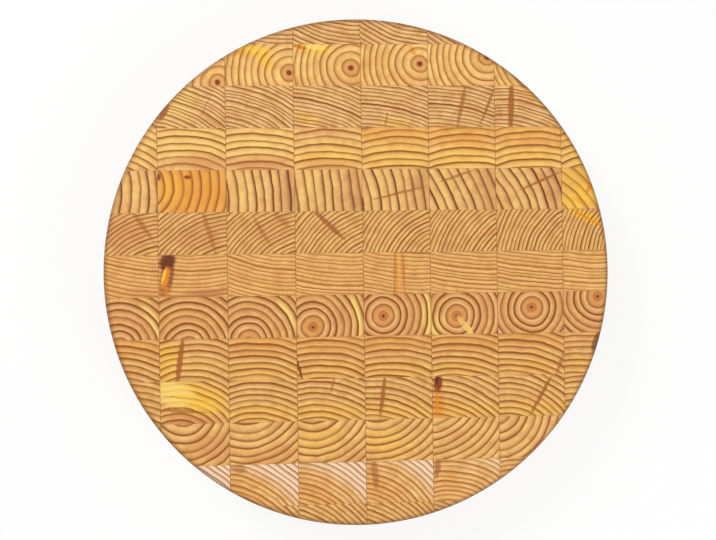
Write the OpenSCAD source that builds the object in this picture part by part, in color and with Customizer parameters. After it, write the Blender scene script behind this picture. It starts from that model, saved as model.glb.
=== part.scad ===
// Round end-grain chopping block on four screwed-on rubber feet.
// Millimetres, +Z up. The origin is on the floor, under the middle of the board.
// Thirteen planks are glued into a blank, sawn across into strips, and the strips
// are glued side by side with their ends up, so each plank is one row of blocks.
// Rows count from the back, +Y, and strips from the left, -X.

/* [Board] */
// Diameter of the wooden disc
board_d = 345; // [320:1:400]
// Thickness of the wood, from the chopping face to the underside
board_t = 45; // [30:1:75]
// Radius of the rounding along the upper and lower rims
rim_round_r = 3; // [1:0.5:8]

/* [Planks] */
// Width of a strip, from one strip seam to the next
strip_w = 46; // [40:0.5:54]
// Thickness of a plank, from one plank seam to the next
plank_t = 28.4; // [25:0.2:32]
// How far the middle strip seam lies to the right of the board's centre
seam_shift = 2.3; // [-5:0.1:5]
// How far the middle plank lies to the back of the board's centre
plank_shift = -1.2; // [-6:0.1:6]
// Thickness of the glue between two strips
strip_glue_t = 0.3; // [0.1:0.05:0.6]
// Thickness of the glue between two planks
plank_glue_t = 0.2; // [0.1:0.05:0.6]
// Reach inside the rim that a block needs, because a smaller chip breaks away
least_chip = 1; // [0.5:0.1:5]

/* [Feet] */
// Diameter of the circle that the feet stand on
foot_circle_d = 270; // [200:1:280]
// Angle of the front right foot from the right, so that its hole clears the seams
foot_angle = 40; // [35:0.5:55]
// Diameter of a foot where it meets the wood
foot_top_d = 22; // [18:0.5:26]
// Diameter of a foot where it stands on the worktop
foot_base_d = 19; // [16:0.5:20]
// Height of a foot
foot_h = 8; // [7:0.5:15]
// Width of the chamfer round the bottom of a foot
foot_chamfer = 0.8; // [0.3:0.1:1.5]
// Height of the screw head above the worktop, so that it never scratches it
head_lift = 1.6; // [1:0.1:2]

/* [Fasteners] */
// Diameter of the screw over its thread
screw_d = 3.5; // [3:0.1:4]
// Length of the screw under its head
screw_l = 18; // [14:1:24]
// Length of the screw's pointed end
point_l = 4; // [2:0.5:6]
// Diameter of the screw's pan head
head_d = 7.2; // [6.5:0.1:8]
// Height of the screw's pan head
head_h = 2.4; // [1.8:0.1:2.6]
// Radius of the rounding of the screw head
head_round_r = 0.9; // [0.4:0.1:1.2]
// Length of each arm of the cross recess, from end to end
cross_l = 3.8; // [3:0.1:4.4]
// Width of each arm of the cross recess
cross_w = 0.9; // [0.6:0.1:1.2]
// Depth of the cross recess
cross_h = 1.3; // [0.8:0.1:1.5]
// Diameter of the washer
washer_d = 9; // [8:0.1:9]
// Thickness of the washer
washer_t = 1; // [0.6:0.1:1.2]
// Radial clearance of the washer in the foot's recess
washer_clearance = 0.5; // [0.1:0.1:1]
// Radial clearance of the screw in the washer and in the rubber
screw_clearance = 0.35; // [0.1:0.05:0.5]
// Radial clearance of the screw in its pilot hole
pilot_clearance = 0.02; // [0.01:0.01:0.1]
// Depth of the pilot hole past the screw's point
pilot_spare = 1; // [0.5:0.5:3]

/* [Hidden] */
$fn = 96;
// How much longer than the board a cutting box is made, so that it cuts right through
spare_cut = 2;
board_r = board_d / 2;
// Everything made of wood stands on the feet
wood_z = foot_h;
// The screw head's underside bears on the washer, and the washer on the rubber
washer_z = head_lift + head_h;
recess_z = washer_z + washer_t;
recess_r = washer_d / 2 + washer_clearance;
foot_bore_r = screw_d / 2 + screw_clearance;
pilot_r = screw_d / 2 + pilot_clearance;
pilot_top_z = washer_z + screw_l + pilot_spare;

// The plank and the seam that the board's centre lies nearest to
middle_row = 7;
middle_seam = 4;
// Rows and strips that can reach a board of this size
first_row = middle_row - ceil(board_r / plank_t) - 1;
last_row = middle_row + ceil(board_r / plank_t) + 1;
first_strip = middle_seam - ceil(board_r / strip_w);
last_strip = middle_seam + ceil(board_r / strip_w) + 1;
all_strips = [first_strip:last_strip];
// The blocks with a node each. The rest share a node with their neighbours.
lone_rows = [4:10];
lone_strips = [2:7];

// The mean colour of each plank's end grain, from the back row to the front row
plank_tones = [
    "#D8A366", "#E3AC60", "#D39E61", "#E0A556", "#D2955A", "#D39A58", "#D09956",
    "#CC8C53", "#D29656", "#D19755", "#D39D61", "#D7A66E", "#CC985C"
];
glue_tone = "#6E4420";
rubber_tone = "#26262A";
steel_tone = "#C9CBCE";

FEET = [
    ["foot_back_right", foot_angle],
    ["foot_back_left", 180 - foot_angle],
    ["foot_front_left", 180 + foot_angle],
    ["foot_front_right", -foot_angle]
];

function block_name(row, strip) =
    str("block_row_", row < 10 ? "0" : "", row, "_strip_", strip);

// Middle of a row or strip, from the centre of the board
function row_y(row) = plank_shift - (row - middle_row) * plank_t;
function seam_x(seam) = seam_shift + (seam - middle_seam) * strip_w;
function strip_x(strip) = seam_x(strip) - strip_w / 2;

// How far the nearest corner or edge of a block's cell lies inside the rim
function reach(row, strip) =
    board_r - norm([
        max(abs(strip_x(strip)) - strip_w / 2, 0),
        max(abs(row_y(row)) - plank_t / 2, 0)
    ]);
function exists(row, strip) = reach(row, strip) > least_chip;

function tone(row) = plank_tones[min(max(row, 1), len(plank_tones)) - 1];

// The whole board as one turned disc, from which every wooden piece is cut
module turned_disc() {
    translate([0, 0, wood_z]) rotate_extrude() {
        square([board_r - rim_round_r, board_t]);
        translate([0, rim_round_r]) square([board_r, board_t - 2 * rim_round_r]);
        for (z = [rim_round_r, board_t - rim_round_r])
            translate([board_r - rim_round_r, z]) circle(rim_round_r);
    }
}

// The part of the disc inside a box of this width and length round a middle
module slice_of_disc(middle, size) {
    intersection() {
        turned_disc();
        translate([middle.x, middle.y, wood_z + board_t / 2])
            cube([size.x, size.y, board_t + spare_cut], center = true);
    }
}

module at_feet() {
    for (foot = FEET) at_foot(foot[1]) children();
}

module at_foot(angle) {
    translate(foot_circle_d / 2 * [cos(angle), sin(angle), 0]) children();
}

// The holes that the foot screws are driven into
module pilot_holes() {
    at_feet() cylinder(r = pilot_r, h = pilot_top_z);
}

// One end-grain block: a short length of plank, shaped by the rim where it meets it
module block(row, strip) {
    color(tone(row)) difference() {
        slice_of_disc(
            [strip_x(strip), row_y(row)],
            [strip_w - strip_glue_t, plank_t - plank_glue_t]
        );
        pilot_holes();
    }
}

module blocks(rows, strips) {
    for (row = rows, strip = strips)
        if (exists(row, strip)) block(row, strip);
}

// The glue that runs right across the board between two strips
module strip_glue_lines() {
    color(glue_tone) difference() {
        for (seam = all_strips)
            if (abs(seam_x(seam)) < board_r - least_chip)
                slice_of_disc([seam_x(seam), 0], [strip_glue_t, board_d + spare_cut]);
        pilot_holes();
    }
}

// The glue between each block and the next one of its strip
module plank_glue_lines() {
    color(glue_tone) difference() {
        for (row = [first_row:last_row - 1], strip = all_strips)
            if (exists(row, strip) && exists(row + 1, strip))
                slice_of_disc(
                    [strip_x(strip), row_y(row) - plank_t / 2],
                    [strip_w - strip_glue_t, plank_glue_t]
                );
        pilot_holes();
    }
}

// A rubber foot: a tapered button with a recess below and a screw hole through it
module foot(angle) {
    base_r = foot_base_d / 2;
    color(rubber_tone) at_foot(angle) rotate_extrude() polygon([
        [foot_bore_r, foot_h],
        [foot_top_d / 2, foot_h],
        [base_r, foot_chamfer],
        [base_r - foot_chamfer, 0],
        [recess_r, 0],
        [recess_r, recess_z],
        [foot_bore_r, recess_z]
    ]);
}

module foot_washers() {
    color(steel_tone) at_feet() translate([0, 0, washer_z])
        rotate_extrude() translate([foot_bore_r, 0])
            square([washer_d / 2 - foot_bore_r, washer_t]);
}

module foot_screws() {
    color(steel_tone) at_feet() {
        screw_head();
        translate([0, 0, washer_z]) {
            cylinder(d = screw_d, h = screw_l - point_l);
            translate([0, 0, screw_l - point_l])
                cylinder(d1 = screw_d, d2 = 0, h = point_l);
        }
    }
}

// A pan head, rounded below, with a cross recess for the driver
module screw_head() {
    head_r = head_d / 2;
    translate([0, 0, head_lift]) difference() {
        rotate_extrude() {
            square([head_r - head_round_r, head_h]);
            translate([0, head_round_r]) square([head_r, head_h - head_round_r]);
            translate([head_r - head_round_r, head_round_r]) circle(head_round_r);
        }
        for (arm = [[cross_l, cross_w], [cross_w, cross_l]])
            cube([arm.x, arm.y, 2 * cross_h], center = true);
    }
}

for (row = lone_rows, strip = lone_strips)
    block(row, strip);
for (place = FEET)
    foot(place[1]);
blocks([first_row:2], all_strips);  // back_blocks
blocks([3:3], all_strips);  // row_03_blocks
blocks([11:11], all_strips);  // row_11_blocks
blocks([12:last_row], all_strips);  // front_blocks
blocks(lone_rows, [first_strip:1]);  // left_rim_blocks
blocks(lone_rows, [8:last_strip]);  // right_rim_blocks
strip_glue_lines();
plank_glue_lines();
foot_washers();
foot_screws();
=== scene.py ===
# %% [markdown]
# # A round end-grain chopping block
# A joiner glues thirteen larch planks into a thick panel and saws the panel across into strips. The
# strips are turned end up and glued side by side, and the disc is cut out of the result. This lesson
# builds the board in that order, because the saw cuts explain its whole pattern: a row of blocks is
# one plank, and its growth rings change only a little from one block to the next.

# %% Load the frame
import math

import bmesh
import bpy
from mathutils import Matrix, Vector


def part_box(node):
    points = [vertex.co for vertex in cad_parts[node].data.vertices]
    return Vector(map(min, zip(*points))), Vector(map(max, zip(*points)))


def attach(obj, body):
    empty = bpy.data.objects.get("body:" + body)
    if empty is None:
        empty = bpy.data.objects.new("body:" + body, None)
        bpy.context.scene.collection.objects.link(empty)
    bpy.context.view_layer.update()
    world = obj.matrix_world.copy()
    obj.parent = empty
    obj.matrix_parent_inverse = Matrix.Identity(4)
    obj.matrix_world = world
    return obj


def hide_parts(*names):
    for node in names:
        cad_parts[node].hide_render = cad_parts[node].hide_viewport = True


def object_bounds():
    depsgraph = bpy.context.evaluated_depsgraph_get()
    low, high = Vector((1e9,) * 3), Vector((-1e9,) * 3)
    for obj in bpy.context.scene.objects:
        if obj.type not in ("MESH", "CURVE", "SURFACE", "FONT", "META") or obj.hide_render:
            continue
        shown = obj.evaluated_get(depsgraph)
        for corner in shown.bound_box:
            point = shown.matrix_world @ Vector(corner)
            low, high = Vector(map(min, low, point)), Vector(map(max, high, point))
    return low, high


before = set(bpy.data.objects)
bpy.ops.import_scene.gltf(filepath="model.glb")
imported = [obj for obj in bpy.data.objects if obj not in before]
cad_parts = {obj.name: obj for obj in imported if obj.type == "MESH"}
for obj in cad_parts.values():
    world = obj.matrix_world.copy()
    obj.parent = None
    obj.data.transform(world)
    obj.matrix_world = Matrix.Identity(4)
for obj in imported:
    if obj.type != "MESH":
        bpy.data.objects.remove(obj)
cad_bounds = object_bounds()
print("nodes:", len(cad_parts), "box:", [[round(x, 4) for x in corner] for corner in cad_bounds])

# %% [markdown]
# ## Sizes from the frame
# The frame holds every piece at its real size and place, so the sizes are measured on it: the pitch of
# the seams from two neighbouring blocks, and the disc from the whole board. What can't be measured,
# such as the rounding of the rim, is a named value in millimetres.

# %% Sizes
MM = 0.001
ROWS = range(1, 14)
STRIPS = range(1, 9)


def middle_of(node):
    low, high = (Vector(corner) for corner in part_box(node))
    return (low + high) / 2, high - low


block_middle, block_size = middle_of("block_row_07_strip_4")
next_strip_middle, _ = middle_of("block_row_07_strip_5")
next_row_middle, _ = middle_of("block_row_08_strip_4")
STRIP_W = next_strip_middle.x - block_middle.x
PLANK_T = block_middle.y - next_row_middle.y
STRIP_GLUE = STRIP_W - block_size.x
PLANK_GLUE = PLANK_T - block_size.y
BOARD_T = block_size.z
BOARD_TOP = block_middle.z + BOARD_T / 2
BOARD_R = round(max(cad_bounds[1][axis] - cad_bounds[0][axis] for axis in (0, 1)) / 2, 4)
RIM_ROUND = 3 * MM
LEAST_CHIP = 1 * MM
SAW_KERF = 3 * MM
SLICE = BOARD_T + SAW_KERF
print(f"strips {STRIP_W / MM:.1f} mm, planks {PLANK_T / MM:.1f} mm, radius {BOARD_R / MM:.1f} mm")


def row_y(row):
    return block_middle.y + (7 - row) * PLANK_T


def strip_x(strip):
    return block_middle.x + (strip - 4) * STRIP_W


def reaches_rim(row, strip):
    """Whether a cell of the pattern lies far enough inside the disc to leave a block there."""
    gap_x = max(abs(strip_x(strip)) - STRIP_W / 2, 0)
    gap_y = max(abs(row_y(row)) - PLANK_T / 2, 0)
    return BOARD_R - math.hypot(gap_x, gap_y) > LEAST_CHIP


CELLS = [(row, strip) for row in ROWS for strip in STRIPS if reaches_rim(row, strip)]
print("blocks:", len(CELLS))

# %% [markdown]
# ## Camera
# The board was photographed from straight above with a longish lens, a few degrees to the left of
# square. The camera is given as those small turns, so that the board's own axes stay true. Its lens
# comes from the focal length in pixels and Blender's 36 mm wide sensor.

# %% Camera
PHOTO_W = 716
FOCAL_PX = 1203
CAMERA_DISTANCE = 818 * MM
BOARD_IN_VIEW = Vector((1.4, -1.2, 0)) * MM
TURNS = (("Y", 4.54), ("X", -0.44), ("Z", 0.79))

camera_data = bpy.data.cameras.new("camera")
camera_data.lens = FOCAL_PX / PHOTO_W * camera_data.sensor_width
camera = bpy.data.objects.new("camera", camera_data)
to_camera = Matrix.Identity(3)
for axis, degrees in TURNS:
    to_camera = to_camera @ Matrix.Rotation(math.radians(degrees), 3, axis)
from_camera = to_camera.transposed()
look_at = Vector((0, 0, BOARD_TOP))
stand = look_at + from_camera @ (Vector((0, 0, CAMERA_DISTANCE)) - BOARD_IN_VIEW)
camera.matrix_world = Matrix.Translation(stand) @ from_camera.to_4x4()
bpy.context.scene.collection.objects.link(camera)
bpy.context.scene.camera = camera
print("camera at", [round(x, 3) for x in stand], "lens", round(camera_data.lens, 1), "mm")

# %% [markdown]
# ## Helpers for materials
# A colour on a screen is stored with a curve, and a renderer wants plain amounts of light. One function
# turns a hex colour into those. Another adds a node, sets it up and joins it to the ones before it, so
# that a material reads from top to bottom like a recipe.

# %% Material helpers


def linear(hex_colour):
    """The light amounts, red, green, blue and full alpha, of an sRGB hex colour."""
    levels = [int(hex_colour[i:i + 2], 16) / 255 for i in (1, 3, 5)]
    return [x / 12.92 if x <= 0.04045 else ((x + 0.055) / 1.055) ** 2.4 for x in levels] + [1.0]


def add(tree, kind, inputs=(), **settings):
    """A new node with its settings. Each input is a value, another node's socket or another node."""
    node = tree.nodes.new(kind)
    for name, value in settings.items():
        setattr(node, name, value)
    for key, value in dict(inputs).items():
        if isinstance(value, bpy.types.Node):
            value = value.outputs[0]
        if isinstance(value, bpy.types.NodeSocket):
            tree.links.new(value, node.inputs[key])
        else:
            node.inputs[key].default_value = value
    return node


def new_material(name):
    """An empty material, its node tree and its Principled shader."""
    material = bpy.data.materials.new(name)
    material.use_nodes = True
    return material, material.node_tree, material.node_tree.nodes["Principled BSDF"]


# %% [markdown]
# ## The timber
# Larch has some of the strongest rings of any softwood: pale, honey-coloured spring wood that ends
# abruptly in a thin red-brown line of summer wood. All of it is drawn from one idea. Every point of a
# block knows where it once lay in the trunk, in millimetres from the pith, and the rings are simply its
# distance from the pith. The end grain on top and the long grain on the rim then agree by themselves.

# %% Colours of larch
SPRING = {
    "straw": "#FCCB8A",
    "gold": "#FFCF7C",
    "honey": "#F8C376",
    "amber": "#F3BA72",
    "peach": "#F0AE6C",
    "clay": "#DDA25E",
}
SUMMER = {"ochre": "#A8651C", "umber": "#96530E", "russet": "#88450C", "plum": "#743410"}
MARK = {
    "resin": "#FFCA4E",
    "orange": "#EE9A30",
    "rose": "#DF9A60",
    "violet": "#C07A50",
    "sapwood": "#FFDFBC",
    "yellow": "#FFDA78",
    "ray": "#A5602A",
    "pocket": "#EA8A1E",
    "ember": "#DF8D4A",
    "knot": "#8C3A0C",
    "char": "#5A200C",
    "wedge": "#FAD478",
}
PITH_TINT = "#8C3C14"
# Painted shade: a darker brown laid on the rounded rims, where they turn away from the light
RIM_SHADE = "#7A4A1C"

# %% [markdown]
# ## The thirteen planks
# A plank is described the way a sawyer would: where the pith ran past it, in millimetres from the
# middle of a block and on which strips that was seen, how wide its rings are, what share of a ring is
# dark and what the wood looks like. Growth above one makes the outer rings narrower, and weather is how
# far good and bad years shift them. A heart is a radius, a tint and the radius of the pith's dot. The
# pith wanders a little up the trunk, so its place is joined by straight lines between a few strips.
# Stains colour the spring wood and leave the rings to be seen. Scars are the knots, resin pockets and
# wood rays that lie over them. Each is an oval on one strip: its middle and its half length and half
# width in millimetres, its turn in degrees, its colour and its strength.

# %% Planks
PLANKS = {
    1: dict(
        pith={3: (15, 75), 4: (24, 75), 5: (24, 62), 6: (30, 55)},
        ring=3.0, spring="straw", summer="russet",
    ),
    2: dict(
        pith={2: (18, -12), 3: (20.5, -5.5), 4: (16.5, -2.2), 5: (17.5, 0.5), 6: (18, 5), 7: (20, 12)},
        ring=7.0, growth=1.2, weather=0.2, late=0.3, spring="gold", summer="ochre", heart=(6.2, "rose", 2.6),
        stains=[(3, (-8, 10.5), (17, 4.5), -8, "resin", 1.0), (3, (4, 3), (9, 4.5), -55, "resin", 0.9),
                (3, (-14, 8), (8, 3), -10, "orange", 0.6), (4, (-8.5, 11.5), (12, 4.5), -8, "resin", 1.0),
                (4, (-18, 12.5), (6, 2), -5, "orange", 0.9), (5, (13, 9.7), (5, 1.5), 120, "orange", 0.8),
                (5, (16, -8), (14, 6), 0, "rose", 0.4), (4, (14, -8), (14, 6), 0, "rose", 0.4)],
        scars=[(4, (-8, 12.5), (8, 2.4), -8, "yellow", 0.8), (4, (-19, 12.4), (6, 1), -12, "ray", 0.5),
               (3, (-2, 11), (12, 2), -8, "resin", 0.5)],
    ),
    3: dict(
        pith={2: (-34, -78), 3: (-34, -80), 4: (-34, -110), 5: (-25, -115), 6: (-22, -115), 7: (-20, -80)},
        ring=2.7, weather=0.9, spring="straw", summer="russet",
        stains=[(2, (-8, 0), (16, 12), 70, "yellow", 0.6), (4, (-13, -8), (10, 5), 0, "resin", 0.5),
                (5, (-2, -10), (14, 4), 0, "resin", 0.4), (7, (3, 9), (12, 4), -40, "resin", 0.5)],
        scars=[(2, (-18, -3), (7, 2.6), 62, "ray", 0.9), (2, (10, 1), (9, 0.7), 65, "ray", 0.5),
               (6, (0, 0), (19, 1.5), 78, "ray", 0.7), (6, (18, 0), (15, 1.1), 68, "ray", 0.75),
               (7, (-11.5, 0), (20, 2.3), 88, "ray", 0.9), (5, (-6, -9), (6, 0.9), 80, "ray", 0.6)],
    ),
    4: dict(
        pith={1: (-6, -42), 2: (-7, -65), 4: (0, -80), 5: (3, -85), 8: (3, -80)}, ring=4.7, late=0.3,
        spring="gold", summer="umber",
        stains=[(strip, (0, 9), (34, 10), 0, "orange", 0.45) for strip in (5, 6, 7, 8)]
        + [(strip, (0, -7), (30, 9), 0, "resin", 0.4) for strip in (4, 5, 6, 7, 8)]
        + [(strip, (0, 4), (30, 10), 0, "yellow", 0.4) for strip in (1, 2, 3)]
        + [(2, (6, -9), (20, 6), 0, "rose", 0.8), (3, (0, -11), (26, 6), 0, "rose", 0.8),
           (4, (0, -12), (22, 4), 0, "rose", 0.7), (4, (0, 12), (24, 5), 0, "rose", 0.5)],
    ),
    5: dict(
        pith={1: (-65, 0), 2: (-34, 3), 3: (-85, -8), 4: (-150, -16), 5: (-115, -25), 6: (-105, -46),
              7: (-78, -36), 8: (-80, -70)},
        ring=6.0, late=0.27, spring="honey", summer="plum",
        stains=[(strip, (18, 0), (20, 9), 90, "violet", 0.4) for strip in (3, 4, 5, 6, 7)]
        + [(strip, (-13, 3), (14, 8), 90, "yellow", 0.3) for strip in (1, 3, 4, 5, 6)]
        + [(2, (0, 0), (34, 22), 0, "orange", 0.7), (2, (-14, 2), (11, 8), 90, "resin", 0.5),
           (8, (-8, 0), (26, 22), 0, "orange", 0.45), (8, (-10, -7), (14, 9), 30, "resin", 0.8)],
        scars=[(2, (0, 0), (40, 30), 0, "orange", 0.25), (8, (-8, 0), (26, 20), 0, "resin", 0.3),
               (2, (-3, 9.7), (2.6, 1.4), 0, "knot", 0.9), (2, (-22, 9.7), (2.6, 1.6), 90, "knot", 0.9),
               (5, (2, -2.3), (21, 1), 13, "ray", 0.7), (6, (-4, 9), (14, 1), 18, "ray", 0.7),
               (7, (8.5, 5.4), (17, 1.1), 23, "ray", 0.8), (8, (-3.5, 0.5), (6, 1.6), 60, "pocket", 0.9),
               (8, (-10, -9), (8, 2), -20, "pocket", 0.3)],
    ),
    6: dict(
        pith={1: (32, -56), 2: (32, -56), 3: (38, -53), 4: (45, -50), 5: (38, -34), 6: (50, -36),
              7: (45, -25), 8: (38, -20)},
        ring=2.8, weather=0.5, spring="honey", summer="russet",
        stains=[(8, (-7, 9), (16, 4), -25, "resin", 1.0), (1, (5, 0), (20, 14), 0, "rose", 0.6),
                (2, (5, -3), (24, 12), 0, "rose", 0.5), (3, (5, 0), (18, 12), 0, "rose", 0.4)],
        scars=[(1, (12.5, 6), (13, 1.8), -55, "ray", 0.6), (2, (11, 1), (18, 1.9), -73, "ray", 0.55),
               (3, (0, 2), (13, 1.5), -60, "ray", 0.5), (3, (14, 9), (8, 2.4), -45, "ray", 0.45),
               (4, (0, 5), (17, 1.8), -44, "ray", 0.85), (8, (-4, 7), (15, 0.9), -28, "pocket", 0.8)],
    ),
    7: dict(
        pith={1: (25, 120), 2: (0, 120), 3: (25, 120), 4: (20, 190), 5: (14, 130), 6: (21, 200), 7: (21, 200),
              8: (0, 160)},
        ring=2.7, weather=0.9, late=0.35, spring="amber", summer="ochre",
        stains=[(1, (8, -11), (24, 4), 0, "rose", 0.6), (2, (8, -12), (22, 3), 5, "violet", 0.7)],
        scars=[(2, (-17.5, 0), (17, 5), 82, "knot", 0.6), (2, (-17, 10), (7, 5.5), 50, "char", 0.85),
               (2, (-18.5, -1), (8, 2.4), 78, "pocket", 0.95), (2, (-19.5, 0), (6, 1), 74, "resin", 0.9),
               (2, (-14.5, 0), (9, 1), 80, "char", 0.35), (2, (-18, -12), (5, 2), 90, "pocket", 0.4),
               (5, (1.5, 0), (26, 3.6), 90, "pocket", 0.3), (5, (-1.6, 0), (22, 0.9), 88, "ray", 0.5),
               (5, (4.6, 0), (22, 0.9), 92, "ray", 0.5), (5, (1.6, 2), (14, 0.8), 90, "resin", 0.35)],
    ),
    8: dict(
        pith={1: (-4, -20), 2: (-4, -20), 3: (-9, -16), 4: (-12, -7), 5: (-10, -0.5), 6: (-5.5, -1.7),
              7: (0.8, 3.2), 8: (1.2, 10)},
        ring=4.6, spring="peach", summer="russet", heart=(7.2, "ember", 1.7),
        stains=[(1, (18, 0), (14, 4), -65, "yellow", 0.8), (3, (17.5, 2), (15, 2.8), -58, "yellow", 0.9),
                (4, (18, 2.7), (19, 2.8), -80, "yellow", 1.0), (5, (20, 0), (19, 2.8), -88, "yellow", 1.0),
                (6, (-20, -8), (9, 7), 90, "yellow", 0.8)],
        scars=[(6, (0, -8), (9, 1.9), -52, "wedge", 0.6), (6, (3, -11), (6, 1.8), -58, "wedge", 0.8),
               (6, (1, -9), (9, 0.5), -56, "orange", 0.6)],
    ),
    9: dict(
        pith={1: (-7, -65), 2: (-2, -52), 3: (-7, -65), 5: (-8, -80), 6: (-8, -68), 7: (-14, -66),
              8: (-13, -115)},
        ring=4.3, spring="amber", summer="umber",
        stains=[(strip, (0, 10), (34, 9), 0, "orange", 0.3) for strip in (1, 3, 4, 5, 6, 7)]
        + [(strip, (0, -9), (30, 8), 0, "resin", 0.3) for strip in (3, 4, 5, 6, 7, 8)]
        + [(2, (-17, 0), (16, 9), 90, "resin", 0.7), (2, (2, -4), (20, 10), 0, "yellow", 0.3)],
        scars=[(2, (-9.5, 0), (18, 2), 82, "ray", 0.9), (4, (-21.5, -7), (9, 1.1), -75, "knot", 0.9),
               (7, (20, -7), (7, 1.6), 70, "ray", 0.7), (8, (0.5, 8), (9, 3.4), 68, "char", 0.7)],
    ),
    10: dict(
        pith={1: (-9, -85), 2: (-12, -38), 3: (-5, -50), 4: (-10, -50), 5: (-20, -62), 6: (-25, -58),
              7: (-20, -46), 8: (-16, -46)},
        ring=4.0, spring="honey", summer="umber",
        stains=[(strip, (0, -9), (30, 8), 0, "resin", 0.4) for strip in (3, 4, 5, 6, 7)]
        + [(2, (-4, 4), (34, 12), -12, "resin", 0.9), (2, (-3, -13), (22, 4.5), 0, "rose", 1.0),
           (6, (-19, -6), (10, 5), 90, "orange", 0.9)],
        scars=[(2, (-14, 6), (15, 9), -10, "yellow", 0.7), (2, (2, 0), (17, 3.6), -22, "resin", 0.6),
               (2, (-8, 3.2), (17, 0.6), -8, "ray", 0.45), (2, (-8, -5.6), (17, 1.4), -5, "ray", 0.7),
               (4, (1, 10), (6, 0.9), 75, "ray", 0.7), (5, (-11, 2), (16, 1.6), 82, "ray", 0.85),
               (6, (-19, 9.7), (7, 3.4), 86, "knot", 0.95),
               (6, (-19.5, 12), (3.5, 1.2), 86, "char", 0.8), (6, (-20, -4), (9, 1), 90, "pocket", 0.7),
               (7, (6.5, 0), (17, 1.4), 60, "ray", 0.85)],
    ),
    11: dict(
        pith={2: (-8, 24), 3: (-12, 36), 4: (-13, 30), 5: (-16, 36), 6: (-28, 38), 7: (-26, 20)}, ring=7.5,
        growth=1.15, late=0.32, spring="honey", summer="umber",
        stains=[(2, (12, -3), (18, 12), 0, "rose", 0.7), (3, (6, -9), (24, 7), 10, "rose", 0.6),
                (4, (-8, 2), (20, 12), 0, "resin", 0.3), (5, (-8, -2), (20, 12), 0, "resin", 0.4),
                (4, (16, -11), (14, 4), 20, "rose", 0.5), (7, (8, -9), (16, 7), 30, "rose", 0.6)],
    ),
    12: dict(
        pith={2: (-34, -56), 4: (-33, -56), 5: (-32, -51), 6: (-15, -52), 7: (-10, -52)}, ring=3.3,
        sapwood=72, spring="straw", summer="ochre",
        stains=[(strip, (-12, -8), (24, 14), -40, "orange", 0.3) for strip in (3, 4, 5, 6)],
        scars=[(3, (-18, 12), (7, 3), -20, "ray", 0.6), (5, (-17, 6), (12, 2.4), 95, "ray", 0.65),
               (6, (-20, 9), (8, 2.2), 80, "ray", 0.7)],
    ),
    13: dict(pith={3: (-40, -48), 6: (-43, -50)}, ring=3.2, spring="honey", summer="russet"),
}


def pith_at(row, strip):
    """Where the pith runs past the top of a block, from the middle of that block, in mm."""
    places = PLANKS[row]["pith"]
    known = sorted(places)
    before = max([k for k in known if k <= strip], default=known[0])
    after = min([k for k in known if k >= strip], default=known[-1])
    if after == before:
        return Vector(places[before])
    return Vector(places[before]).lerp(Vector(places[after]), (strip - before) / (after - before))


# %% [markdown]
# ## Rings
# The material reads the attribute called trunk, which holds millimetres, so every number in it is a
# real size. Noise moves the rings a little, more slowly up the trunk than across it. The distance from
# the pith, divided by the width of a ring, counts the years, and the fraction left over is the season.

# %% Rings
SWAY = 3.5
SWAY_WIDTH = 22
UP_THE_TRUNK = 0.12
TREE_APART = 900
PLAIN_PLANK = {
    "growth": 1.0,
    "weather": 0.4,
    "late": 0.4,
    "heart": (0, "rose", 2.0),
    "sapwood": None,
    "stains": (),
    "scars": (),
}


def vector_math(tree, operation, *inputs):
    """A vector node's output: the vector, or the value of a length."""
    node = add(tree, "ShaderNodeVectorMath", dict(enumerate(inputs)), operation=operation)
    return node.outputs["Value" if operation == "LENGTH" else "Vector"]


def blended(tree, factor, colour, other, blend_type="MIX"):
    """One colour laid over another."""
    mixed = add(tree, "ShaderNodeMix", {"Factor": factor, 6: colour, 7: other}, data_type="RGBA",
                blend_type=blend_type)
    return mixed.outputs[2]


def shifted(tree, place, by, width, size, detail, rough=0.5):
    """A place moved sideways by noise of a width, by up to about half a size, in mm."""
    noise = add(tree, "ShaderNodeTexNoise", {"Vector": by, "Scale": 1 / width, "Detail": detail,
                                             "Roughness": rough})
    noise = vector_math(tree, "SUBTRACT", noise.outputs["Color"], (0.5, 0.5, 0.5))
    return vector_math(tree, "ADD", place, vector_math(tree, "MULTIPLY", noise, (size, size, 0)))


def growth_rings(tree, plank, radius):
    """How dark the summer wood is at a radius, and the chance that each year has of its own."""
    years = add(tree, "ShaderNodeMath", {0: radius, 1: plank["ring"]}, operation="DIVIDE")
    years = add(tree, "ShaderNodeMath", {0: years, 1: plank["growth"]}, operation="POWER")
    weather = add(tree, "ShaderNodeTexNoise", {"W": years, "Scale": 0.45, "Detail": 1.0},
                  noise_dimensions="1D")
    years = add(tree, "ShaderNodeMath", {0: weather, 1: plank["weather"], 2: years},
                operation="MULTIPLY_ADD")
    season = add(tree, "ShaderNodeMath", {0: years}, operation="FRACT")
    year = add(tree, "ShaderNodeMath", {0: years}, operation="FLOOR")
    summer = add(tree, "ShaderNodeValToRGB", {"Fac": season})
    stops = summer.color_ramp.elements
    late = plank["late"]
    for stop in stops:
        stop.color = (0.5, 0.5, 0.5, 1)
    for when, dark in ((0.06, 0.0), (1 - 1.8 * late, 0.08), (1 - late, 0.45), (1 - late / 2, 1.0),
                       (0.96, 1.0)):
        stops.new(when).color = (dark, dark, dark, 1)
    chance = add(tree, "ShaderNodeTexWhiteNoise", {"W": year}, noise_dimensions="1D").outputs["Value"]
    strength = add(tree, "ShaderNodeMapRange", {"Value": chance, "To Min": 0.7, "To Max": 1.0})
    return add(tree, "ShaderNodeMath", {0: summer, 1: strength}, operation="MULTIPLY"), chance


print("sway of the rings:", SWAY / 2, "mm at most, over", SWAY_WIDTH, "mm")

# %% [markdown]
# ## Spring wood, stains and scars
# The spring wood is mottled, drifts to rose and to yellow, and is paler in some years. Sapwood, the
# living outer wood of a trunk, is almost white. Each stain or scar is a Mapping node that squeezes its
# oval into a ball: a point is inside where its distance is below one.

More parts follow.
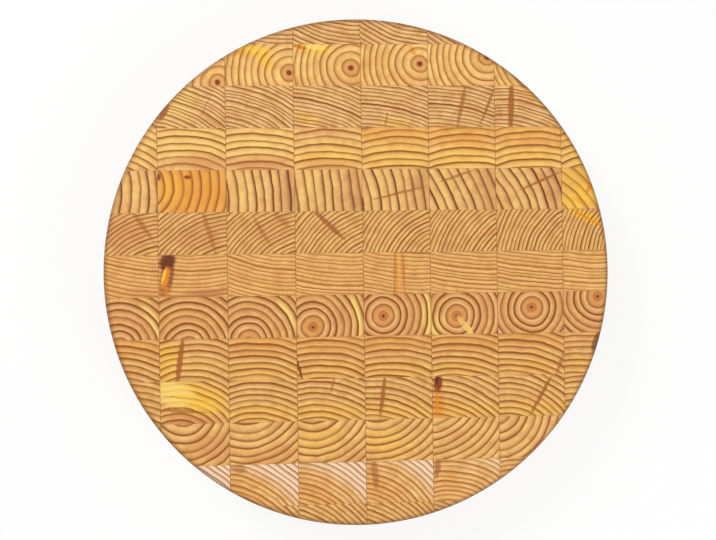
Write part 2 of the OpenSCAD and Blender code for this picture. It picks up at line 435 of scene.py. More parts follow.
# %% Spring wood
MARK_DEPTH = 26
STAIN_EDGE = 0.7
SCAR_EDGE = 0.35


def marked(tree, colour, place, row, marks, edge):
    """The colour with a plank's ovals laid over it. The edge is how much of an oval fades out."""
    for strip, middle, halves, turn, tint, strength in marks:
        pith = pith_at(row, strip)
        oval = add(tree, "ShaderNodeMapping", {
            "Vector": place,
            "Location": (middle[0] - pith.x, middle[1] - pith.y, strip * SLICE / MM),
            "Rotation": (0, 0, math.radians(turn)),
            "Scale": (*halves, MARK_DEPTH),
        }, vector_type="TEXTURE")
        inside = add(tree, "ShaderNodeMapRange", {
            "Value": vector_math(tree, "LENGTH", oval), "From Min": 1 - edge, "From Max": 1 + edge / 2,
            "To Min": strength, "To Max": 0.0,
        }, interpolation_type="SMOOTHSTEP")
        colour = blended(tree, inside, colour, linear(MARK[tint]))
    return colour


def spring_wood(tree, plank, stretched, chance, radius):
    """The colour between the dark lines, before its stains."""
    mottle = add(tree, "ShaderNodeTexNoise", {"Vector": stretched, "Scale": 1 / 8, "Detail": 4.0})
    mottle = add(tree, "ShaderNodeMapRange", {"Value": mottle, "From Min": 0.35, "From Max": 0.75})
    spring = blended(tree, mottle, linear(SPRING[plank["spring"]]), linear(SPRING["clay"]))
    drift = add(tree, "ShaderNodeTexNoise",
                {"Vector": stretched, "Scale": 1 / 5, "Detail": 3.0, "Roughness": 0.7})
    for tint, tone in (("rose", drift.outputs["Color"]), ("yellow", drift.outputs["Fac"])):
        tone = add(tree, "ShaderNodeSeparateColor", {"Color": tone}).outputs["Green"]
        tone = add(tree, "ShaderNodeMapRange",
                   {"Value": tone, "From Min": 0.5, "From Max": 0.8, "To Max": 0.7})
        spring = blended(tree, tone, spring, linear(MARK[tint]))
    paler = add(tree, "ShaderNodeMapRange", {"Value": chance, "From Min": 0.6, "To Max": 0.35})
    spring = blended(tree, paler, spring, linear(SPRING["straw"]))
    if plank["sapwood"]:
        outer = add(tree, "ShaderNodeMapRange", {"Value": radius, "From Min": plank["sapwood"] - 6,
                                                 "From Max": plank["sapwood"] + 4})
        spring = blended(tree, outer, spring, linear(MARK["sapwood"]))
    return spring


print("stains and scars:", sum(len(p.get("stains", ())) + len(p.get("scars", ())) for p in PLANKS.values()))

# %% [markdown]
# ## Fibres and painted shade on the rims
# End grain is a bundle of cut fibres, and on the rim they show as fine upright streaks. They are too
# fine to see at their real 0.03 mm, so they are drawn 0.4 mm wide. The rounded rims turn away from
# the light, and their shade is painted into the colour as a darker brown.

# %% Fibres and rims
FIBRE_W = 0.4


def fibre_noise(tree, seeded):
    long = vector_math(tree, "MULTIPLY", seeded, (1, 1, 0.03))
    return add(tree, "ShaderNodeTexNoise", {"Vector": long, "Scale": 1 / FIBRE_W, "Detail": 2.0})


def fibrous(tree, colour, fibres):
    """The colour, a few percent lighter and darker from fibre to fibre."""
    shade = add(tree, "ShaderNodeMapRange", {"Value": fibres, "From Min": 0.3, "From Max": 0.7,
                                             "To Min": 0.9, "To Max": 1.08})
    shade = add(tree, "ShaderNodeCombineXYZ", {0: shade, 1: shade, 2: shade})
    return blended(tree, 1.0, colour, shade, "MULTIPLY")


def shade_the_rims(tree, colour):
    """The colour with painted shade on the rounded rims: far out on the disc, near its top or underside."""
    on_board = add(tree, "ShaderNodeTexCoord").outputs["Object"]
    out = vector_math(tree, "LENGTH", vector_math(tree, "MULTIPLY", on_board, (1, 1, 0)))
    out = add(tree, "ShaderNodeMapRange", {"Value": out, "From Min": BOARD_R - 4 * MM,
                                           "From Max": BOARD_R - 1 * MM})
    up = add(tree, "ShaderNodeSeparateXYZ", {0: on_board}).outputs["Z"]
    up = add(tree, "ShaderNodeMath", {0: up, 1: BOARD_TOP - BOARD_T / 2}, operation="SUBTRACT")
    up = add(tree, "ShaderNodeMath", {0: up}, operation="ABSOLUTE")
    up = add(tree, "ShaderNodeMapRange", {"Value": up, "From Min": BOARD_T / 2 - 6 * MM,
                                          "From Max": BOARD_T / 2 - 2 * MM})
    both = add(tree, "ShaderNodeMath", {0: out, 1: up}, operation="MULTIPLY")
    # Painted shade: at most this share of the darker brown on the rims
    rim_shade_amount = add(tree, "ShaderNodeMath", {0: both, 1: 0.55}, operation="MULTIPLY")
    return blended(tree, rim_shade_amount, colour, linear(RIM_SHADE))


print("fibres drawn", FIBRE_W, "mm wide")

# %% [markdown]
# ## Larch, sanded and oiled
# One material for each plank, put together from the parts above. Oil soaks into end grain and leaves a
# soft shine, with a roughness about a half. Summer wood is harder and takes a slightly better polish,
# and sanding leaves it a few hundredths of a millimetre proud, which the bump shows.

# %% Larch


def larch(row):
    plank = PLAIN_PLANK | PLANKS[row]
    material, tree, shader = new_material(f"larch_plank_{row:02d}")
    trunk = add(tree, "ShaderNodeAttribute", attribute_name="trunk").outputs["Vector"]
    seeded = vector_math(tree, "ADD", trunk, (0, 0, TREE_APART * row))
    stretched = vector_math(tree, "MULTIPLY", seeded, (1, 1, UP_THE_TRUNK))
    swayed = shifted(tree, trunk, stretched, SWAY_WIDTH, SWAY, 3.0)
    radius = vector_math(tree, "LENGTH", vector_math(tree, "MULTIPLY", swayed, (1, 1, 0)))
    ragged = shifted(tree, trunk, stretched, 3, 2.5, 5.0, 0.75)

    summer, chance = growth_rings(tree, plank, radius)
    spring = spring_wood(tree, plank, stretched, chance, radius)
    spring = marked(tree, spring, ragged, row, plank["stains"], STAIN_EDGE)

    # The first years round the pith are redder with fainter lines, and the pith is a brown dot
    heart, tint, pith_size = plank["heart"]
    near = add(tree, "ShaderNodeMapRange", {"Value": radius, "From Min": heart - 3.5,
                                            "From Max": heart + 0.5, "To Min": 0.75, "To Max": 0.0})
    spring = blended(tree, near, spring, linear(MARK[tint]))
    fainter = add(tree, "ShaderNodeMapRange", {"Value": near, "To Min": 1.0, "To Max": 0.4})
    summer = add(tree, "ShaderNodeMath", {0: summer, 1: fainter}, operation="MULTIPLY")
    colour = blended(tree, summer, spring, linear(SUMMER[plank["summer"]]))
    dot = add(tree, "ShaderNodeMapRange", {"Value": radius, "From Min": pith_size / 2,
                                           "From Max": pith_size, "To Min": 1.0, "To Max": 0.0})
    colour = blended(tree, dot, colour, linear(PITH_TINT))

    colour = marked(tree, colour, ragged, row, plank["scars"], SCAR_EDGE)
    fibres = fibre_noise(tree, seeded)
    # Painted shade on the rounded rims goes over the fibres
    colour = shade_the_rims(tree, fibrous(tree, colour, fibres))
    tree.links.new(colour, shader.inputs["Base Color"])
    shader.inputs["Specular IOR Level"].default_value = 0.22
    gloss = add(tree, "ShaderNodeMapRange", {"Value": summer, "To Min": 0.58, "To Max": 0.44})
    tree.links.new(gloss.outputs[0], shader.inputs["Roughness"])
    height = add(tree, "ShaderNodeMath", {0: fibres, 1: 0.5, 2: summer}, operation="MULTIPLY_ADD")
    bump = add(tree, "ShaderNodeBump", {"Height": height, "Strength": 0.35, "Distance": 0.08 * MM})
    tree.links.new(bump.outputs["Normal"], shader.inputs["Normal"])
    return material


WOOD = {row: larch(row) for row in ROWS}
print("wood materials:", len(WOOD))

# %% [markdown]
# ## Turning, joining and cutting
# Blender's own Spin and Screw tools work on a selection or a modifier. A profile turned in code keeps
# its outline in one readable list, and always ends as a closed mesh. Two more helpers join meshes and
# cut one out of another.

# %% Turning, joining and cutting


def arc(centre, radius, start, end, steps):
    """Points (r, z) along a round stretch of a profile, from one angle to another in degrees."""
    turns = [math.radians(start + (end - start) * i / steps) for i in range(steps + 1)]
    return [(centre[0] + radius * math.cos(t), centre[1] + radius * math.sin(t)) for t in turns]


def spun(name, profile, steps, centre=(0, 0)):
    """A closed mesh made by turning a profile of (r, z) points about the upright axis at centre."""
    turned = bmesh.new()
    ring_of = []
    for r, z in profile:
        count = 1 if r == 0 else steps
        ring_of.append([
            turned.verts.new((
                centre[0] + r * math.cos(2 * math.pi * i / steps),
                centre[1] + r * math.sin(2 * math.pi * i / steps),
                z,
            ))
            for i in range(count)
        ])
    pairs = list(zip(ring_of, ring_of[1:]))
    if 0 not in (profile[0][0], profile[-1][0]):
        pairs.append((ring_of[-1], ring_of[0]))
    for lower, upper in pairs:
        for i in range(steps):
            corners = [lower[i % len(lower)], lower[(i + 1) % len(lower)],
                       upper[(i + 1) % len(upper)], upper[i % len(upper)]]
            turned.faces.new(list(dict.fromkeys(corners)))
    bmesh.ops.recalc_face_normals(turned, faces=turned.faces)
    mesh = bpy.data.meshes.new(name)
    turned.to_mesh(mesh)
    turned.free()
    return mesh


def merged(name, meshes):
    """One mesh that holds all the faces of several."""
    together = bmesh.new()
    for mesh in meshes:
        together.from_mesh(mesh)
    mesh = bpy.data.meshes.new(name)
    together.to_mesh(mesh)
    together.free()
    return mesh


def cut_away(name, mesh, cutter):
    """A mesh with another one cut out of it."""
    body = bpy.data.objects.new(name, mesh)
    tool = bpy.data.objects.new(f"{name}_cutter", cutter)
    bpy.context.scene.collection.objects.link(body)
    bpy.context.scene.collection.objects.link(tool)
    boolean = body.modifiers.new("cut", "BOOLEAN")
    boolean.object = tool
    boolean.solver = "EXACT"
    ready = body.evaluated_get(bpy.context.evaluated_depsgraph_get())
    result = bpy.data.meshes.new_from_object(ready)
    bpy.data.objects.remove(body)
    bpy.data.objects.remove(tool)
    return result


print("points on a quarter round of six steps:", len(arc((0, 0), RIM_ROUND, 0, 90, 6)))

# %% [markdown]
# ## The turned blank
# The whole disc is made once, as a profile spun about its axis. Both rims are rounded, as a router
# bit leaves them. Then the four pilot holes for the foot screws are drilled from below. Each foot is
# in the frame, so the holes are placed by measuring where the feet stand.

# %% The blank
FEET = ("foot_back_right", "foot_back_left", "foot_front_left", "foot_front_right")
FOOT_AT = [middle_of(foot)[0].xy for foot in FEET]
BOARD_UNDER = BOARD_TOP - BOARD_T
PILOT_R = 1.77 * MM
PILOT_TOP = 23 * MM
RIM_STEPS = 6
DISC_STEPS = 256

rim_r = BOARD_R - RIM_ROUND
blank_profile = (
    [(0, BOARD_UNDER)]
    + arc((rim_r, BOARD_UNDER + RIM_ROUND), RIM_ROUND, -90, 0, RIM_STEPS)
    + arc((rim_r, BOARD_TOP - RIM_ROUND), RIM_ROUND, 0, 90, RIM_STEPS)
    + [(0, BOARD_TOP)]
)
drill = [(0, BOARD_UNDER - MM), (PILOT_R, BOARD_UNDER - MM), (PILOT_R, PILOT_TOP), (0, PILOT_TOP)]
disc = spun("disc", blank_profile, DISC_STEPS)
drills = merged("drills", [spun("drill", drill, 32, place) for place in FOOT_AT])
blank_mesh = cut_away("turned_blank", disc, drills)
print("blank faces:", len(blank_mesh.polygons))

# %% [markdown]
# ## Sawing the blocks
# A Geometry Nodes tree cuts one block from the blank: it keeps what lies inside a box, and writes on
# every point where it lay in the trunk. The same tree cuts all the blocks, and with a thin box it cuts
# the glue between them, so wood and glue meet face to face. Its inputs are named, and a modifier's
# inputs are set by identifier, which stays the same when a name changes.

# %% Sawing tree


def sawing_tree():
    tree = bpy.data.node_groups.new("saw_from_blank", "GeometryNodeTree")
    sockets = (("Blank", "Geometry"), ("Middle", "Vector"), ("Size", "Vector"), ("Pith", "Vector"),
               ("Lean", "Vector"), ("Finish", "Material"))
    for name, kind in sockets:
        tree.interface.new_socket(name, in_out="INPUT", socket_type=f"NodeSocket{kind}")
    tree.interface.new_socket("Block", in_out="OUTPUT", socket_type="NodeSocketGeometry")
    given = tree.nodes.new("NodeGroupInput").outputs

    box = add(tree, "GeometryNodeMeshCube", {"Size": given["Size"]})
    box = add(tree, "GeometryNodeTransform", {"Geometry": box, "Translation": given["Middle"]})
    cut = add(tree, "GeometryNodeMeshBoolean", operation="INTERSECT", solver="EXACT")
    tree.links.new(given["Blank"], cut.inputs["Mesh 2"])
    tree.links.new(box.outputs[0], cut.inputs["Mesh 2"])

    # The place in the trunk, in mm from the pith. The pith leans a little, so it shifts with depth.
    place = vector_math(tree, "SUBTRACT", add(tree, "GeometryNodeInputPosition"), given["Middle"])
    place = add(tree, "ShaderNodeVectorMath", {0: place, "Scale": 1 / MM}, operation="SCALE")
    depth = add(tree, "ShaderNodeSeparateXYZ", {0: place}).outputs["Z"]
    lean = add(tree, "ShaderNodeVectorMath", {0: given["Lean"], "Scale": depth}, operation="SCALE")
    place = vector_math(tree, "SUBTRACT", place, given["Pith"])
    place = vector_math(tree, "SUBTRACT", place, lean)
    placed = add(tree, "GeometryNodeStoreNamedAttribute",
                 {"Geometry": cut, "Name": "trunk", "Value": place}, data_type="FLOAT_VECTOR", domain="POINT")

    # Smooth round the rim, sharp at the saw cuts
    angle = add(tree, "GeometryNodeInputMeshEdgeAngle")
    flat = add(tree, "ShaderNodeMath", {0: angle.outputs["Unsigned Angle"], 1: math.radians(30)},
               operation="LESS_THAN")
    smooth = add(tree, "GeometryNodeSetShadeSmooth", {"Geometry": placed, "Shade Smooth": True})
    smooth = add(tree, "GeometryNodeSetShadeSmooth", {"Geometry": smooth, "Shade Smooth": flat},
                 domain="EDGE")
    whole = add(tree, "GeometryNodeRealizeInstances", {"Geometry": smooth})
    done = add(tree, "GeometryNodeSetMaterial", {"Geometry": whole, "Material": given["Finish"]})
    out = tree.nodes.new("NodeGroupOutput")
    tree.links.new(done.outputs[0], out.inputs[0])
    return tree


def input_names(tree):
    """The identifier of each named input of a tree."""
    return {item.name: item.identifier for item in tree.interface.items_tree if item.in_out == "INPUT"}


SAW = sawing_tree()
SAW_INPUTS = input_names(SAW)
print("sawing inputs:", SAW_INPUTS)

# %% [markdown]
# ## One evaluation for many cuts
# Each job gets an object with the blank's mesh and the sawing modifier. They are evaluated together,
# turned into plain meshes, and lose their modifiers. A Weighted Normal modifier keeps flat faces flat
# beside the rounded rim.

# %% Sawing


def sawn(jobs):
    """One object for each job, a name with the sawing tree's inputs. All are cut in one evaluation."""
    pieces = []
    for name, inputs in jobs:
        piece = bpy.data.objects.new(name, blank_mesh)
        bpy.context.scene.collection.objects.link(piece)
        saw = piece.modifiers.new("saw", "NODES")
        saw.node_group = SAW
        for socket, value in inputs.items():
            saw[SAW_INPUTS[socket]] = value
        weighted = piece.modifiers.new("flat faces stay flat", "WEIGHTED_NORMAL")
        weighted.keep_sharp = True
        pieces.append(piece)
    cut = bpy.context.evaluated_depsgraph_get()
    meshes = [bpy.data.meshes.new_from_object(piece.evaluated_get(cut)) for piece in pieces]
    for piece, mesh in zip(pieces, meshes):
        piece.modifiers.clear()
        piece.data = mesh
        mesh.name = piece.name
    return pieces


# %% [markdown]
# ## The blocks
# Each block stands for the CAD node that holds it, which has a node of its own in the middle of the
# board and shares one near the rim. The pith also leans inside a block, as it does from one block to
# the next, but by four degrees at most, because a sawyer keeps only straight trunks for boards.

# %% Blocks
PAST_BOARD = 2 * MM
CUT_H = 2 * (BOARD_T + PAST_BOARD)
MOST_LEAN = 0.07


def node_of(row, strip):
    """The CAD node that a block belongs to."""
    if row <= 2:
        return "back_blocks"
    if row in (3, 11):
        return f"row_{row:02d}_blocks"
    if row >= 12:
        return "front_blocks"
    if strip == 1:
        return "left_rim_blocks"
    if strip == 8:
        return "right_rim_blocks"
    return f"block_row_{row:02d}_strip_{strip}"


def block_job(row, strip):
    """A block's name, and where the saw cuts it."""
    pith = pith_at(row, strip)
    lean = (pith_at(row, strip + 1) - pith) * MM / SLICE
    lean *= min(1, MOST_LEAN / max(lean.length, MOST_LEAN))
    return f"larch_row_{row:02d}_strip_{strip}", {
        "Middle": (strip_x(strip), row_y(row), BOARD_TOP),
        "Size": (STRIP_W - STRIP_GLUE, PLANK_T - PLANK_GLUE, CUT_H),
        "Pith": (pith.x, pith.y, -strip * SLICE / MM),
        "Lean": (lean.x, lean.y, 0.0),
        "Finish": WOOD[row],
    }


blocks = sawn([block_job(row, strip) for row, strip in CELLS])
for (row, strip), block in zip(CELLS, blocks):
    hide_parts(node_of(row, strip))
    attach(block, "root")
print("blocks:", len(blocks), "faces:", sum(len(block.data.polygons) for block in blocks))

# %% [markdown]
# ## Plain finishes
# Glue, rubber and steel need no pattern, only the slight unevenness that keeps a surface from looking
# like plastic film. One function gives them two close colours and a roughness that varies a little,
# over a size in millimetres: a few for glue that soaked into wood, less for moulded rubber, which is
# matte, and for tumbled stainless steel, which is a soft mirror.

# %% Plain finishes


def simple_finish(name, light, dark, noise_mm, rough=(0.5, 0.6), metallic=0.0):
    """A material of two close colours, with noise of one size on colour and roughness."""
    material, tree, shader = new_material(name)
    place = add(tree, "ShaderNodeTexCoord").outputs["Object"]
    noise = add(tree, "ShaderNodeTexNoise", {"Vector": place, "Scale": 1 / (noise_mm * MM), "Detail": 3.0})
    colour = blended(tree, noise, linear(light), linear(dark))
    gloss = add(tree, "ShaderNodeMapRange", {"Value": noise, "To Min": rough[0], "To Max": rough[1]})
    tree.links.new(colour, shader.inputs["Base Color"])
    tree.links.new(gloss.outputs[0], shader.inputs["Roughness"])
    shader.inputs["Metallic"].default_value = metallic
    return material


GLUE = {
    "strip_glue_lines": simple_finish("brown_wood_glue", "#8E5C2E", "#704420", 4),
    "plank_glue_lines": simple_finish("clear_wood_glue", "#C08C52", "#A0703C", 4),
}
rubber = simple_finish("moulded_rubber", "#222226", "#2E2E33", 0.4, (0.6, 0.75))
steel = simple_finish("stainless_steel", "#CDCFD2", "#BDBFC2", 0.8, (0.22, 0.38), 1.0)
print("plain finishes:", [material.name for material in (*GLUE.values(), rubber, steel)])

# %% [markdown]
# ## The glue
# The glue is cut from the same blank with very thin boxes, so it fills the saw gaps and ends flush
# with the rim. Its slivers are joined into a few larger pieces, one for each part of a three by three
# grid, so that each can carry a sharp texture when the model leaves Blender.

# %% Glue slivers
GLUE_GRID = 3
PART_SIZE = 2 * BOARD_R / GLUE_GRID


def grid_part(x, y):
    """Which part of the glue grid a place on the board lies in."""
    return tuple(min(int((place + BOARD_R) / PART_SIZE), GLUE_GRID - 1) for place in (x, y))


slivers = {}


def add_sliver(node, x, y, width, length):
    """One more sliver, in the list of its node and its part of the grid."""
    slivers.setdefault((node, grid_part(x, y)), []).append(("glue_sliver", {
        "Middle": (x, y, BOARD_TOP),
        "Size": (width, length, CUT_H),
        "Pith": (0, 0, 0),
        "Lean": (0, 0, 0),
        "Finish": GLUE[node],
    }))


for strip in STRIPS[:-1]:
    seam = strip_x(strip) + STRIP_W / 2
    for part in range(GLUE_GRID):
        y = (part + 0.5) * PART_SIZE - BOARD_R
        if math.hypot(seam, max(abs(y) - PART_SIZE / 2, 0)) < BOARD_R - LEAST_CHIP:
            add_sliver("strip_glue_lines", seam, y, STRIP_GLUE, PART_SIZE)
for row, strip in CELLS:
    if (row + 1, strip) in CELLS:
        y = row_y(row) - PLANK_T / 2
        add_sliver("plank_glue_lines", strip_x(strip), y, STRIP_W - STRIP_GLUE, PLANK_GLUE)
print("slivers:", sum(len(jobs) for jobs in slivers.values()))

# %% Glue pieces


def dress(mesh, name, node):
    """A mesh as a named piece of the object, in place of a CAD node."""
    piece = bpy.data.objects.new(name, mesh)
    bpy.context.scene.collection.objects.link(piece)
    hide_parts(node)
    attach(piece, "root")
    return piece


for (node, (across, along)), jobs in sorted(slivers.items()):
    cut = sawn(jobs)
    name = f"{node[:5]}_glue_{across}_{along}"
    lines = dress(merged(node, [sliver.data for sliver in cut]), name, node)
    lines.data.materials.append(GLUE[node])
    for sliver in cut:
        bpy.data.objects.remove(sliver)
print("glue pieces:", len(slivers))

# %% [markdown]
# ## The rubber feet
# A foot is moulded in one piece: a tapered button with softened edges, a hole for its screw and a
# recess that hides the screw head. It is a profile turned about an upright axis, as the board is, and
# each of the four feet stands where its node in the frame does.

# %% Feet
FOOT_H = BOARD_UNDER / MM
FOOT_TOP_R = 10.95
FOOT_BASE_R = 9.65
FOOT_EDGE = 0.9
RECESS_R = 5
RECESS_H = 5
RECESS_EDGE = 0.4
HOLE_R = 2.1


def in_mm(points):
    """A profile that was written in millimetres, in metres."""
    return [(r * MM, z * MM) for r, z in points]


def smoothed(mesh):
    """Smooth shading that stops at edges sharper than 35 degrees."""
    mesh.shade_smooth()
    mesh.set_sharp_from_angle(angle=math.radians(35))


foot_profile = in_mm(
    [(HOLE_R, FOOT_H), (FOOT_TOP_R - 0.35, FOOT_H), (FOOT_TOP_R - 0.05, FOOT_H - 0.2),
     (FOOT_TOP_R, FOOT_H - 0.5)]
    + arc((FOOT_BASE_R - FOOT_EDGE, FOOT_EDGE), FOOT_EDGE, 0, -90, 5)
    + arc((RECESS_R + RECESS_EDGE, RECESS_EDGE), RECESS_EDGE, -90, -180, 3)
    + [(RECESS_R, RECESS_H), (HOLE_R, RECESS_H)]
)
for foot, place in zip(FEET, FOOT_AT):
    piece = dress(spun(foot, foot_profile, 64, place), f"rubber_{foot}", foot)
    piece.data.materials.append(rubber)
    smoothed(piece.data)
print("feet:", len(FEET), "height", round(FOOT_H, 2), "mm")

# %% [markdown]
# ## One at each foot
# The washers and the screws are each made once, at the middle of the board. A small Geometry Nodes tree
# puts a copy at each corner of a grid of two by two, whose size is measured between the feet. Nobody
# lines up four screws, so each copy is turned by chance, from a fixed seed.

# %% Fixing tree
FEET_ACROSS = FOOT_AT[0].x - FOOT_AT[1].x
FEET_ALONG = FOOT_AT[0].y - FOOT_AT[3].y
TURN_SEED = 3


def fixing_tree():
    tree = bpy.data.node_groups.new("one_at_each_foot", "GeometryNodeTree")
    sockets = (("Piece", "Geometry"), ("Across", "Float"), ("Along", "Float"), ("Seed", "Int"),
               ("Finish", "Material"))
    for name, kind in sockets:
        tree.interface.new_socket(name, in_out="INPUT", socket_type=f"NodeSocket{kind}")
    tree.interface.new_socket("Pieces", in_out="OUTPUT", socket_type="NodeSocketGeometry")
    given = tree.nodes.new("NodeGroupInput").outputs
    corners = add(tree, "GeometryNodeMeshGrid", {"Size X": given["Across"], "Size Y": given["Along"],
                                                 "Vertices X": 2, "Vertices Y": 2})
    turn = add(tree, "FunctionNodeRandomValue", {0: (0, 0, 0), 1: (0, 0, math.tau), "Seed": given["Seed"]},
               data_type="FLOAT_VECTOR")
    copies = add(tree, "GeometryNodeInstanceOnPoints",
                 {"Points": corners.outputs["Mesh"], "Instance": given["Piece"], "Rotation": turn})
    whole = add(tree, "GeometryNodeRealizeInstances", {"Geometry": copies})
    done = add(tree, "GeometryNodeSetMaterial", {"Geometry": whole, "Material": given["Finish"]})
    out = tree.nodes.new("NodeGroupOutput")
    tree.links.new(done.outputs[0], out.inputs[0])
    return tree


FIXING = fixing_tree()
FIXING_INPUTS = input_names(FIXING)


def at_each_foot(name, mesh, finish):
    """One mesh with a copy of a small piece at each foot."""
    piece = bpy.data.objects.new(name, mesh)
    bpy.context.scene.collection.objects.link(piece)
    fixing = piece.modifiers.new("fixing", "NODES")
    fixing.node_group = FIXING
    given = {"Across": FEET_ACROSS, "Along": FEET_ALONG, "Seed": TURN_SEED, "Finish": finish}
    for socket, value in given.items():
        fixing[FIXING_INPUTS[socket]] = value
    copies = bpy.data.meshes.new_from_object(piece.evaluated_get(bpy.context.evaluated_depsgraph_get()))
    bpy.data.objects.remove(piece)
    return copies


print("feet stand", round(FEET_ACROSS / MM, 1), "by", round(FEET_ALONG / MM, 1), "mm apart")

# %% [markdown]
# ## Washers
# A pressed washer keeps the screw head from pulling through the rubber. It is a small rectangle turned
# about the axis, with its edges broken.

# %% Washers
WASHER_R = 4.5
WASHER_Z = 4
WASHER_T = 1
BROKEN_EDGE = 0.15

inner, outer = HOLE_R, WASHER_R
low, high = WASHER_Z, WASHER_Z + WASHER_T
washer_profile = in_mm([
    (inner, low + BROKEN_EDGE), (inner + BROKEN_EDGE, low), (outer - BROKEN_EDGE, low),
    (outer, low + BROKEN_EDGE), (outer, high - BROKEN_EDGE), (outer - BROKEN_EDGE, high),
    (inner + BROKEN_EDGE, high), (inner, high - BROKEN_EDGE),
])
washers = at_each_foot("washers", spun("washer", washer_profile, 48), steel)
smoothed(washers)
dress(washers, "steel_foot_washers", "foot_washers")
print("washer faces:", len(washers.polygons))

# %% [markdown]
# ## Screws
# A pan-head wood screw. Its head is a turned profile with a cross recess cut away. Its thread is a tube
# whose radius rises and falls with the angle and the height together, which is what makes a helix. The
# outside of the thread keeps to the pilot hole.

# %% Screw shank
HEAD_R = 3.6
HEAD_EDGE = 0.9
HEAD_Z = 1.6
CROSS_L = 3.8
CROSS_W = 0.9
CROSS_H = 1.3
CROSS_TAPER = 0.55
THREAD_R = 1.74
CORE_R = 1.25
NECK_R = 1.7
NECK_H = 2
RIDGE_SHARE = 0.25
THREAD_PITCH = 1.6
THREAD_STEPS = 24
LEVELS_A_TURN = 12
SCREW_TIP = 22
POINT = 4
HEAD_OVERLAP = 0.1
TIP_R = 0.02


def thread_radius(turn, z):
    """The radius in mm at a share of a turn: a core with a sharp ridge, drawn out to a point."""
    in_neck = z <= WASHER_Z - HEAD_OVERLAP + NECK_H
    phase = (z / THREAD_PITCH - turn) % 1
    ridge = 0.0 if in_neck else max(0.0, 1 - abs(phase - 0.5) / RIDGE_SHARE)
    core = NECK_R if in_neck else CORE_R
    return max((core + (THREAD_R - core) * ridge) * min(1, (SCREW_TIP - z) / POINT), TIP_R)


def shank():
    """The threaded part of the screw, from inside its head to its tip."""
    made = bmesh.new()
    start = WASHER_Z - HEAD_OVERLAP
    levels = round((SCREW_TIP - start) / THREAD_PITCH * LEVELS_A_TURN)
    rings = []
    for level in range(levels + 1):
        z = start + (SCREW_TIP - start) * level / levels
        ring = []
        for i in range(THREAD_STEPS):
            r = thread_radius(i / THREAD_STEPS, z) * MM
            angle = math.tau * i / THREAD_STEPS
            ring.append(made.verts.new((r * math.cos(angle), r * math.sin(angle), z * MM)))
        rings.append(ring)
    for lower, upper in zip(rings, rings[1:]):
        for i in range(THREAD_STEPS):
            j = (i + 1) % THREAD_STEPS
            made.faces.new([lower[i], lower[j], upper[j], upper[i]])
    made.faces.new(rings[0])
    made.faces.new(rings[-1])
    bmesh.ops.recalc_face_normals(made, faces=made.faces)
    mesh = bpy.data.meshes.new("shank")
    made.to_mesh(mesh)
    made.free()
    return mesh


shank_mesh = shank()
print("shank faces:", len(shank_mesh.polygons))

# %% Screw head


def cross():
    """Two crossed wedges, the shape of a driver's bit."""
    made = bmesh.new()
    for quarter in (0, 90):
        wedge = bmesh.ops.create_cube(made, size=1.0)["verts"]
        for vert in wedge:
            taper = CROSS_TAPER if vert.co.z > 0 else 1.0
            up = HEAD_Z - 0.05 + (vert.co.z + 0.5) * CROSS_H
            vert.co = Vector((vert.co.x * CROSS_L * taper, vert.co.y * CROSS_W, up)) * MM
        bmesh.ops.transform(made, matrix=Matrix.Rotation(math.radians(quarter), 4, "Z"), verts=wedge)
    mesh = bpy.data.meshes.new("cross")
    made.to_mesh(mesh)
    made.free()
    return mesh


head_profile = in_mm(
    [(0, HEAD_Z)]
    + arc((HEAD_R - HEAD_EDGE, HEAD_Z + HEAD_EDGE), HEAD_EDGE, -90, 0, 6)
    + [(HEAD_R, WASHER_Z - 0.05), (HEAD_R - 0.05, WASHER_Z), (0, WASHER_Z)]
)
head = cut_away("head", spun("head", head_profile, 48), cross())
screws = at_each_foot("screws", merged("screw", [head, shank_mesh]), steel)
smoothed(screws)
dress(screws, "steel_foot_screws", "foot_screws")
print("screw faces:", len(screws.polygons))

# %% [markdown]
# ## Light
# Two soft boxes stand to the sides, at 45 degrees, so that their mirror image misses the camera and the
# oiled wood keeps its deep colour. A white room fills the shadows. Together they are set so that a
# colour renders about as it is written. The camera sees the room at full white, and light from it is
# weaker.

# %% Light
ROOM_LIGHT = 0.32
LAMPS = (("key", 20.0, (-0.9, 0.9, 1.3)), ("fill", 12.0, (0.9, -0.8, 1.2)))
LAMP_SIZE = 0.8

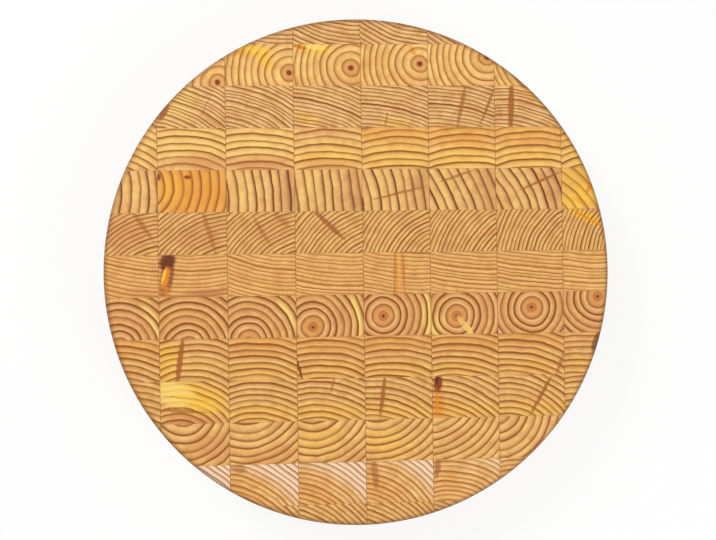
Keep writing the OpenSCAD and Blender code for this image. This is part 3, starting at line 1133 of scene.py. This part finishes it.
world = bpy.data.worlds.new("white_room")
world.use_nodes = True
bpy.context.scene.world = world
room = world.node_tree
room.nodes["Background"].inputs["Color"].default_value = (1, 1, 1, 1)
seen = add(room, "ShaderNodeLightPath").outputs["Is Camera Ray"]
strength = add(room, "ShaderNodeMapRange", {"Value": seen, "To Min": ROOM_LIGHT, "To Max": 1.0})
room.links.new(strength.outputs[0], room.nodes["Background"].inputs["Strength"])

for name, watts, place in LAMPS:
    lamp_data = bpy.data.lights.new(name, "AREA")
    lamp_data.energy = watts
    lamp_data.size = LAMP_SIZE
    lamp = bpy.data.objects.new(name, lamp_data)
    lamp.location = place
    lamp.rotation_euler = (look_at - Vector(place)).to_track_quat("-Z", "Y").to_euler()
    bpy.context.scene.collection.objects.link(lamp)

print("lamps:", [name for name, _, _ in LAMPS])

# %% [markdown]
# ## Floor
# The board lies on white paper. The camera, and anything shiny, sees it lifted most of the way to plain
# white, but it still takes the board's shadow.

# %% Floor
FLOOR_SIZE = 6.0
LIFT = 0.85

half = FLOOR_SIZE / 2
corners = [(-half, -half, 0), (half, -half, 0), (half, half, 0), (-half, half, 0)]
floor_mesh = bpy.data.meshes.new("floor")
floor_mesh.from_pydata(corners, [], [range(4)])
floor = bpy.data.objects.new("floor", floor_mesh)
bpy.context.scene.collection.objects.link(floor)
paper, paper_tree, paper_shader = new_material("white_paper")
paper_shader.inputs["Base Color"].default_value = linear("#FAFAFA")
paper_shader.inputs["Roughness"].default_value = 0.9
seen = add(paper_tree, "ShaderNodeLightPath")
seen = add(paper_tree, "ShaderNodeMath", {0: seen.outputs["Is Camera Ray"], 1: seen.outputs["Is Glossy Ray"]},
           operation="MAXIMUM")
white = add(paper_tree, "ShaderNodeEmission", {"Color": (1, 1, 1, 1), "Strength": 1.0})
lifted = add(paper_tree, "ShaderNodeMath", {0: seen, 1: LIFT}, operation="MULTIPLY")
both = add(paper_tree, "ShaderNodeMixShader", {0: lifted, 1: paper_shader, 2: white})
paper_tree.links.new(both.outputs[0], paper_tree.nodes["Material Output"].inputs["Surface"])
floor_mesh.materials.append(paper)
bpy.context.scene.view_settings.view_transform = "Standard"
print("floor:", FLOOR_SIZE, "m wide")
